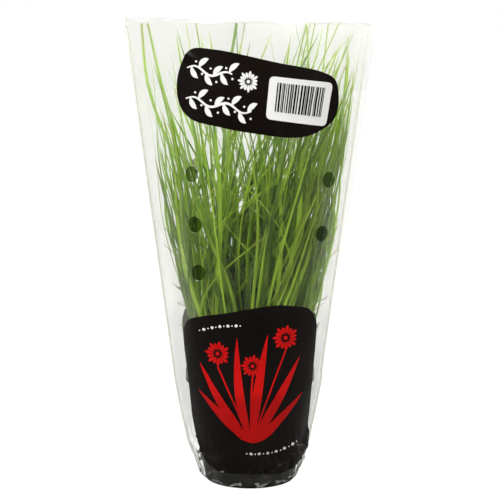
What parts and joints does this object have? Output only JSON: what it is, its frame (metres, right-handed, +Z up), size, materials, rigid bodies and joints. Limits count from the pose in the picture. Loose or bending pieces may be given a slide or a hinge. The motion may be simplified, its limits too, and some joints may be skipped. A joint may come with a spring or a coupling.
{
  "type": "potted garlic chives",
  "caption": "Round plastic herb pot with a dense stand of narrow flat garlic chive leaves, in a clear film sleeve that flares to an open mouth.",
  "frame": {"origin": "centre of the pot's foot ring, on the surface that it stands on", "axes": "+Z up along the pot's axis; -Y is the sleeve's front, with the upper and lower printed panels; the sleeve's side welds lie along X"},
  "size_m": [0.16, 0.0888, 0.2998],
  "materials": {
    "pot_plastic": "satin dark grey moulded plastic",
    "potting_mix": "crumbly dark brown bark and peat mix",
    "leaf": "satin fresh green leaf",
    "clear_film": "clear glossy packaging film",
    "print_black": "glossy black print on film",
    "print_white": "glossy white print on film"
  },
  "bodies": {
    "root": {"pot": "pot_plastic", "soil": "potting_mix", "clump_01": "leaf", "clump_02": "leaf", "clump_03": "leaf", "clump_04": "leaf", "clump_05": "leaf", "clump_06": "leaf", "clump_07": "leaf", "clump_08": "leaf", "clump_09": "leaf", "clump_10": "leaf", "clump_11": "leaf", "clump_12": "leaf", "clump_13": "leaf", "clump_14": "leaf", "clump_15": "leaf", "clump_16": "leaf", "clump_17": "leaf", "clump_18": "leaf", "clump_19": "leaf", "clump_20": "leaf", "clump_21": "leaf", "clump_22": "leaf", "clump_23": "leaf", "clump_24": "leaf", "clump_25": "leaf", "clump_26": "leaf", "clump_27": "leaf", "clump_28": "leaf", "clump_29": "leaf", "clump_30": "leaf", "clump_31": "leaf", "clump_32": "leaf", "clump_33": "leaf", "clump_34": "leaf", "clump_35": "leaf", "clump_36": "leaf", "clump_37": "leaf", "clump_38": "leaf", "sleeve": "clear_film", "panel_upper": "print_black", "panel_code": "print_white", "panel_lower": "print_black", "panel_back": "print_black"}
  },
  "joints": []
}
